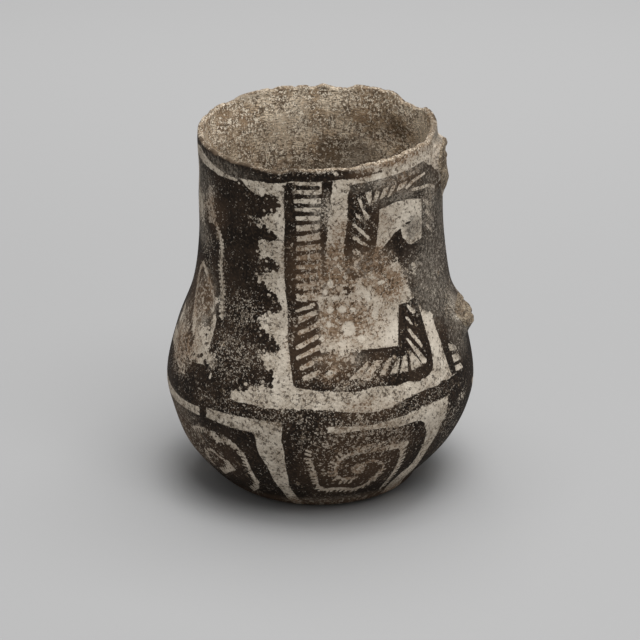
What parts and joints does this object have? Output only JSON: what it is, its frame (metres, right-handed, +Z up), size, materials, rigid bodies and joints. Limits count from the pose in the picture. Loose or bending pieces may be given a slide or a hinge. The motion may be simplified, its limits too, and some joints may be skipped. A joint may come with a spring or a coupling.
{
  "type": "coil-built pitcher",
  "caption": "Hand-built earthenware pitcher with a round belly, wide neck and chipped lip, painted dark on a pale slip. Its strap handle has snapped off, leaving two roots.",
  "frame": {"origin": "centre of the flat foot, on the surface that the pitcher stands on", "axes": "+Z up from the foot to the mouth, +X towards the side of the broken handle"},
  "size_m": [0.1434, 0.1418, 0.1753],
  "materials": {
    "slipped_clay": "matt",
    "painted_clay": "matt",
    "broken_clay": "rough"
  },
  "bodies": {
    "root": {"base_bowl": "slipped_clay", "wall_coil_01": "painted_clay", "wall_coil_02": "painted_clay", "wall_coil_03": "painted_clay", "wall_coil_04": "painted_clay", "wall_coil_05": "painted_clay", "wall_coil_06": "painted_clay", "wall_coil_07": "painted_clay", "wall_coil_08": "painted_clay", "wall_coil_09": "painted_clay", "wall_coil_10": "painted_clay", "rim_coil": "slipped_clay", "handle_root_upper": "broken_clay", "handle_root_lower": "broken_clay"}
  },
  "joints": []
}
